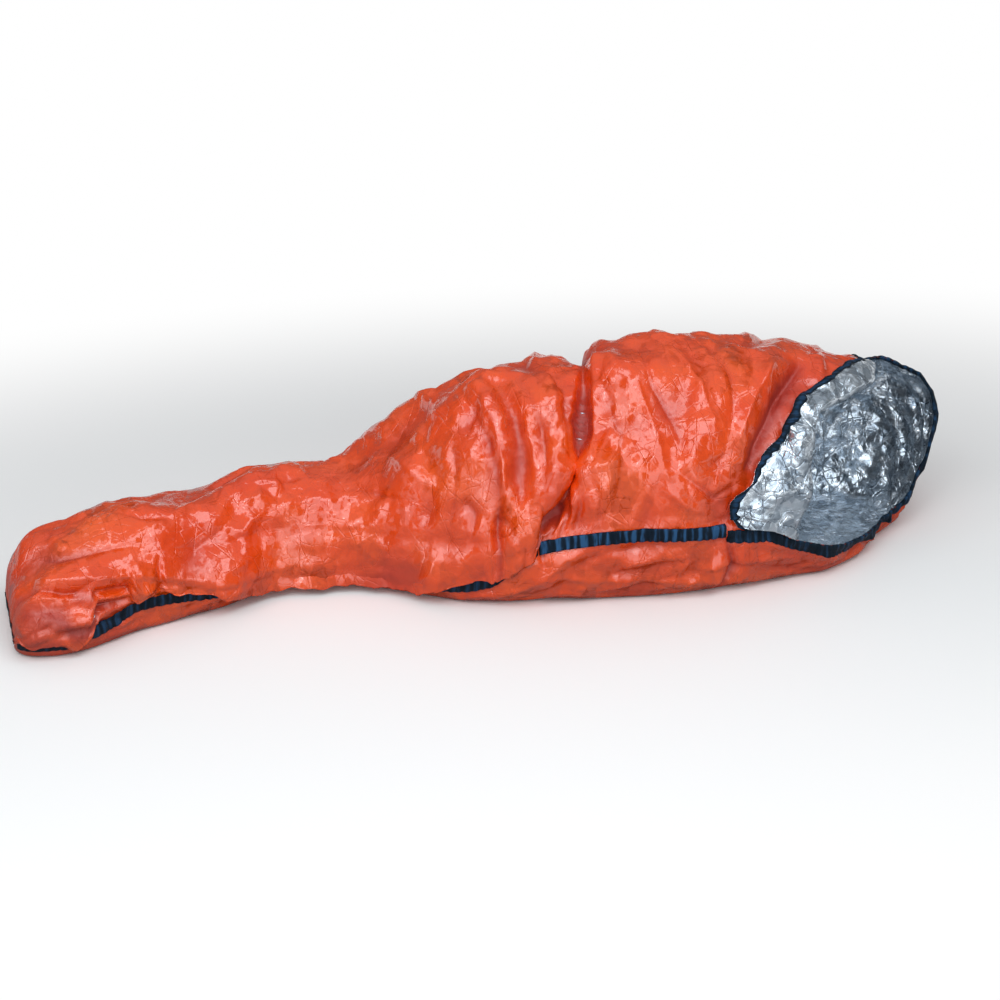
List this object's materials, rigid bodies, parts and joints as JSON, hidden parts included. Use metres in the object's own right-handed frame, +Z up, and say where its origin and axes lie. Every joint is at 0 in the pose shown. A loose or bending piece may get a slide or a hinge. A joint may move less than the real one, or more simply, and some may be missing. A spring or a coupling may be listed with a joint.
{
  "type": "emergency bivvy bag",
  "caption": "Orange film survival bag with a silvered lining, side closure and turned-back cuff, lying opened out as if filled, head end open.",
  "frame": {"origin": "on the floor plane, on the flat underside of the base panel below the trunk, at the point of the underside mount", "axes": "+X along the bag from the foot seam to the hood, +Z up, the side closure faces -Y"},
  "size_m": [2.0209, 0.5185, 0.4826],
  "materials": {
    "orange_film": "thin glossy film, crinkled all over",
    "silver_lining": "vapour-metallised film, crumpled, mirror-like on each facet",
    "black_tape": "narrow woven tape, slightly puckered",
    "hook_tape": "hook tape, slightly shiny, cross puckers"
  },
  "bodies": {
    "bag": {"top_film": "orange_film", "base_film": "orange_film", "top_lining": "silver_lining", "base_lining": "silver_lining", "closure_loop_tape": "black_tape", "closure_hook_tape": "hook_tape", "near_leg_tape": "black_tape", "far_side_tape": "black_tape", "foot_seam_tape": "black_tape", "lip_binding": "black_tape", "cuff_film": "orange_film", "cuff_lining": "silver_lining", "cuff_binding": "black_tape"},
    "flap": {"flap_film": "orange_film", "flap_lining": "silver_lining", "flap_binding": "black_tape"}
  },
  "joints": [
    {"name": "flap_fold", "type": "hinge", "parent": "bag", "child": "flap", "pos_m": [0.647, -0.26176, 0.1195], "axis": [0.1627, 0.2681, 0.9496], "range_deg": [0, 170]}
  ]
}
